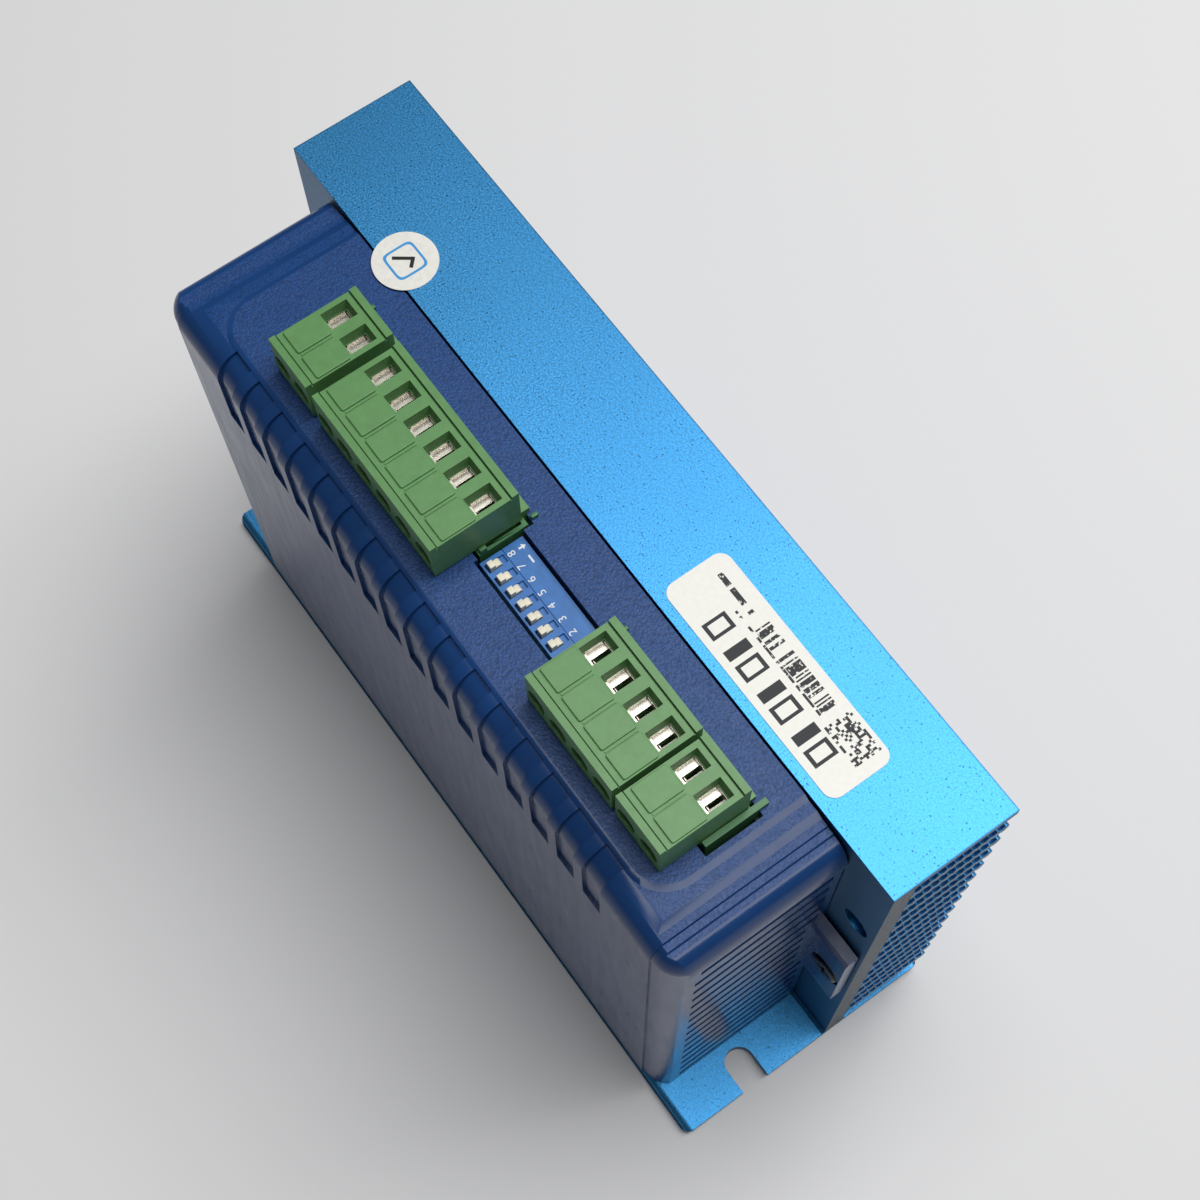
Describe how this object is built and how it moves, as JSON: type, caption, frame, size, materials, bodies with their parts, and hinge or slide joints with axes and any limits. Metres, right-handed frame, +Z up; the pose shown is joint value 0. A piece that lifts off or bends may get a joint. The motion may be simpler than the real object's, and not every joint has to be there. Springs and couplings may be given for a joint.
{
  "type": "stepper driver module",
  "caption": "Stepper motor driver: finned aluminium heat sink on a slotted foot, moulded cover with louvred ends, pluggable screw terminals and a slide switch block.",
  "frame": {"origin": "centre of the foot plate's underside, which is the bottom centre of the bounding box", "axes": "+X along the length from the two-pole signal end to the supply end, +Y from the cover towards the fins, +Z up from the foot plate towards the terminals"},
  "size_m": [0.15, 0.053, 0.1063],
  "materials": {
    "anodised_aluminium": "blasted, blue anodised",
    "cover_plastic": "fine leather grain on the front, satin sides",
    "black_steel": "black oxide",
    "header_plastic": "satin",
    "plug_plastic": "satin",
    "screw_steel": "zinc plated",
    "nickel_plate": "nickel plated",
    "switch_plastic": "satin",
    "slider_plastic": "ivory",
    "circuit_board": "solder mask",
    "capacitor_sleeve": "shrink sleeve",
    "epoxy": "moulded",
    "silicone_pad": "matte",
    "copper_wire": "enamelled copper",
    "label_paper": "printed film"
  },
  "bodies": {
    "housing": {"heat_sink": "anodised_aluminium", "cover": "cover_plastic", "cover_screw_left": "black_steel", "cover_screw_right": "black_steel", "header_a": "header_plastic", "header_b": "header_plastic", "header_c": "header_plastic", "header_d": "header_plastic", "dip_body": "switch_plastic", "dip_board": "circuit_board", "main_board": "circuit_board", "capacitor_left": "capacitor_sleeve", "capacitor_right": "capacitor_sleeve", "power_package_left": "epoxy", "power_package_right": "epoxy", "thermal_pad": "silicone_pad", "dc_choke": "copper_wire", "type_label": "label_paper", "round_sticker": "label_paper"},
    "plug_a": {"plug_a": "plug_plastic"},
    "screw_a1": {"clamp_screw_a1": "screw_steel"},
    "cage_a1": {"clamp_cage_a1": "nickel_plate"},
    "screw_a2": {"clamp_screw_a2": "screw_steel"},
    "cage_a2": {"clamp_cage_a2": "nickel_plate"},
    "plug_b": {"plug_b": "plug_plastic"},
    "screw_b1": {"clamp_screw_b1": "screw_steel"},
    "cage_b1": {"clamp_cage_b1": "nickel_plate"},
    "screw_b2": {"clamp_screw_b2": "screw_steel"},
    "cage_b2": {"clamp_cage_b2": "nickel_plate"},
    "screw_b3": {"clamp_screw_b3": "screw_steel"},
    "cage_b3": {"clamp_cage_b3": "nickel_plate"},
    "screw_b4": {"clamp_screw_b4": "screw_steel"},
    "cage_b4": {"clamp_cage_b4": "nickel_plate"},
    "screw_b5": {"clamp_screw_b5": "screw_steel"},
    "cage_b5": {"clamp_cage_b5": "nickel_plate"},
    "screw_b6": {"clamp_screw_b6": "screw_steel"},
    "cage_b6": {"clamp_cage_b6": "nickel_plate"},
    "plug_c": {"plug_c": "plug_plastic"},
    "screw_c1": {"clamp_screw_c1": "screw_steel"},
    "cage_c1": {"clamp_cage_c1": "nickel_plate"},
    "screw_c2": {"clamp_screw_c2": "screw_steel"},
    "cage_c2": {"clamp_cage_c2": "nickel_plate"},
    "screw_c3": {"clamp_screw_c3": "screw_steel"},
    "cage_c3": {"clamp_cage_c3": "nickel_plate"},
    "screw_c4": {"clamp_screw_c4": "screw_steel"},
    "cage_c4": {"clamp_cage_c4": "nickel_plate"},
    "plug_d": {"plug_d": "plug_plastic"},
    "screw_d1": {"clamp_screw_d1": "screw_steel"},
    "cage_d1": {"clamp_cage_d1": "nickel_plate"},
    "screw_d2": {"clamp_screw_d2": "screw_steel"},
    "cage_d2": {"clamp_cage_d2": "nickel_plate"},
    "switch_8": {"dip_slider_8": "slider_plastic"},
    "switch_7": {"dip_slider_7": "slider_plastic"},
    "switch_6": {"dip_slider_6": "slider_plastic"},
    "switch_5": {"dip_slider_5": "slider_plastic"},
    "switch_4": {"dip_slider_4": "slider_plastic"},
    "switch_3": {"dip_slider_3": "slider_plastic"},
    "switch_2": {"dip_slider_2": "slider_plastic"},
    "switch_1": {"dip_slider_1": "slider_plastic"}
  },
  "joints": [
    {"name": "plug_a_pull", "type": "slide", "parent": "housing", "child": "plug_a", "axis": [0, 0, 1], "range_m": [0, 0.008]},
    {"name": "clamp_a1_turn", "type": "hinge", "parent": "plug_a", "child": "screw_a1", "pos_m": [-0.04048, -0.0166, 0.1013], "axis": [0, 1, 0], "range_deg": [0, 1621]},
    {"name": "clamp_a1_close", "type": "slide", "parent": "plug_a", "child": "cage_a1", "axis": [0, -1, 0], "range_m": [0, 0.00225]},
    {"name": "clamp_a2_turn", "type": "hinge", "parent": "plug_a", "child": "screw_a2", "pos_m": [-0.0354, -0.0166, 0.1013], "axis": [0, 1, 0], "range_deg": [0, 1621]},
    {"name": "clamp_a2_close", "type": "slide", "parent": "plug_a", "child": "cage_a2", "axis": [0, -1, 0], "range_m": [0, 0.00225]},
    {"name": "plug_b_pull", "type": "slide", "parent": "housing", "child": "plug_b", "axis": [0, 0, 1], "range_m": [0, 0.008]},
    {"name": "clamp_b1_turn", "type": "hinge", "parent": "plug_b", "child": "screw_b1", "pos_m": [-0.0288, -0.0166, 0.1013], "axis": [0, 1, 0], "range_deg": [0, 1621]},
    {"name": "clamp_b1_close", "type": "slide", "parent": "plug_b", "child": "cage_b1", "axis": [0, -1, 0], "range_m": [0, 0.00225]},
    {"name": "clamp_b2_turn", "type": "hinge", "parent": "plug_b", "child": "screw_b2", "pos_m": [-0.02372, -0.0166, 0.1013], "axis": [0, 1, 0], "range_deg": [0, 1621]},
    {"name": "clamp_b2_close", "type": "slide", "parent": "plug_b", "child": "cage_b2", "axis": [0, -1, 0], "range_m": [0, 0.00225]},
    {"name": "clamp_b3_turn", "type": "hinge", "parent": "plug_b", "child": "screw_b3", "pos_m": [-0.01864, -0.0166, 0.1013], "axis": [0, 1, 0], "range_deg": [0, 1621]},
    {"name": "clamp_b3_close", "type": "slide", "parent": "plug_b", "child": "cage_b3", "axis": [0, -1, 0], "range_m": [0, 0.00225]},
    {"name": "clamp_b4_turn", "type": "hinge", "parent": "plug_b", "child": "screw_b4", "pos_m": [-0.01356, -0.0166, 0.1013], "axis": [0, 1, 0], "range_deg": [0, 1621]},
    {"name": "clamp_b4_close", "type": "slide", "parent": "plug_b", "child": "cage_b4", "axis": [0, -1, 0], "range_m": [0, 0.00225]},
    {"name": "clamp_b5_turn", "type": "hinge", "parent": "plug_b", "child": "screw_b5", "pos_m": [-0.00848, -0.0166, 0.1013], "axis": [0, 1, 0], "range_deg": [0, 1621]},
    {"name": "clamp_b5_close", "type": "slide", "parent": "plug_b", "child": "cage_b5", "axis": [0, -1, 0], "range_m": [0, 0.00225]},
    {"name": "clamp_b6_turn", "type": "hinge", "parent": "plug_b", "child": "screw_b6", "pos_m": [-0.0034, -0.0166, 0.1013], "axis": [0, 1, 0], "range_deg": [0, 1621]},
    {"name": "clamp_b6_close", "type": "slide", "parent": "plug_b", "child": "cage_b6", "axis": [0, -1, 0], "range_m": [0, 0.00225]},
    {"name": "plug_c_pull", "type": "slide", "parent": "housing", "child": "plug_c", "axis": [0, 0, 1], "range_m": [0, 0.008]},
    {"name": "clamp_c1_turn", "type": "hinge", "parent": "plug_c", "child": "screw_c1", "pos_m": [0.02458, -0.0166, 0.1013], "axis": [0, 1, 0], "range_deg": [0, 1621]},
    {"name": "clamp_c1_close", "type": "slide", "parent": "plug_c", "child": "cage_c1", "axis": [0, -1, 0], "range_m": [0, 0.00225]},
    {"name": "clamp_c2_turn", "type": "hinge", "parent": "plug_c", "child": "screw_c2", "pos_m": [0.02966, -0.0166, 0.1013], "axis": [0, 1, 0], "range_deg": [0, 1621]},
    {"name": "clamp_c2_close", "type": "slide", "parent": "plug_c", "child": "cage_c2", "axis": [0, -1, 0], "range_m": [0, 0.00225]},
    {"name": "clamp_c3_turn", "type": "hinge", "parent": "plug_c", "child": "screw_c3", "pos_m": [0.03474, -0.0166, 0.1013], "axis": [0, 1, 0], "range_deg": [0, 1621]},
    {"name": "clamp_c3_close", "type": "slide", "parent": "plug_c", "child": "cage_c3", "axis": [0, -1, 0], "range_m": [0, 0.00225]},
    {"name": "clamp_c4_turn", "type": "hinge", "parent": "plug_c", "child": "screw_c4", "pos_m": [0.03982, -0.0166, 0.1013], "axis": [0, 1, 0], "range_deg": [0, 1621]},
    {"name": "clamp_c4_close", "type": "slide", "parent": "plug_c", "child": "cage_c4", "axis": [0, -1, 0], "range_m": [0, 0.00225]},
    {"name": "plug_d_pull", "type": "slide", "parent": "housing", "child": "plug_d", "axis": [0, 0, 1], "range_m": [0, 0.008]},
    {"name": "clamp_d1_turn", "type": "hinge", "parent": "plug_d", "child": "screw_d1", "pos_m": [0.04555, -0.0166, 0.1013], "axis": [0, 1, 0], "range_deg": [0, 1621]},
    {"name": "clamp_d1_close", "type": "slide", "parent": "plug_d", "child": "cage_d1", "axis": [0, -1, 0], "range_m": [0, 0.00225]},
    {"name": "clamp_d2_turn", "type": "hinge", "parent": "plug_d", "child": "screw_d2", "pos_m": [0.05063, -0.0166, 0.1013], "axis": [0, 1, 0], "range_deg": [0, 1621]},
    {"name": "clamp_d2_close", "type": "slide", "parent": "plug_d", "child": "cage_d2", "axis": [0, -1, 0], "range_m": [0, 0.00225]},
    {"name": "switch_8_slide", "type": "slide", "parent": "housing", "child": "switch_8", "axis": [0, 1, 0], "range_m": [0, 0.0009]},
    {"name": "switch_7_slide", "type": "slide", "parent": "housing", "child": "switch_7", "axis": [0, 1, 0], "range_m": [0, 0.0009]},
    {"name": "switch_6_slide", "type": "slide", "parent": "housing", "child": "switch_6", "axis": [0, 1, 0], "range_m": [0, 0.0009]},
    {"name": "switch_5_slide", "type": "slide", "parent": "housing", "child": "switch_5", "axis": [0, 1, 0], "range_m": [0, 0.0009]},
    {"name": "switch_4_slide", "type": "slide", "parent": "housing", "child": "switch_4", "axis": [0, 1, 0], "range_m": [0, 0.0009]},
    {"name": "switch_3_slide", "type": "slide", "parent": "housing", "child": "switch_3", "axis": [0, 1, 0], "range_m": [0, 0.0009]},
    {"name": "switch_2_slide", "type": "slide", "parent": "housing", "child": "switch_2", "axis": [0, 1, 0], "range_m": [0, 0.0009]},
    {"name": "switch_1_slide", "type": "slide", "parent": "housing", "child": "switch_1", "axis": [0, 1, 0], "range_m": [0, 0.0009]}
  ],
  "couplings": [
    {"joint": "clamp_a1_turn", "follows": "clamp_a1_close", "rad_per_m": 12566},
    {"joint": "clamp_a2_turn", "follows": "clamp_a2_close", "rad_per_m": 12566},
    {"joint": "clamp_b1_turn", "follows": "clamp_b1_close", "rad_per_m": 12566},
    {"joint": "clamp_b2_turn", "follows": "clamp_b2_close", "rad_per_m": 12566},
    {"joint": "clamp_b3_turn", "follows": "clamp_b3_close", "rad_per_m": 12566},
    {"joint": "clamp_b4_turn", "follows": "clamp_b4_close", "rad_per_m": 12566},
    {"joint": "clamp_b5_turn", "follows": "clamp_b5_close", "rad_per_m": 12566},
    {"joint": "clamp_b6_turn", "follows": "clamp_b6_close", "rad_per_m": 12566},
    {"joint": "clamp_c1_turn", "follows": "clamp_c1_close", "rad_per_m": 12566},
    {"joint": "clamp_c2_turn", "follows": "clamp_c2_close", "rad_per_m": 12566},
    {"joint": "clamp_c3_turn", "follows": "clamp_c3_close", "rad_per_m": 12566},
    {"joint": "clamp_c4_turn", "follows": "clamp_c4_close", "rad_per_m": 12566},
    {"joint": "clamp_d1_turn", "follows": "clamp_d1_close", "rad_per_m": 12566},
    {"joint": "clamp_d2_turn", "follows": "clamp_d2_close", "rad_per_m": 12566}
  ]
}
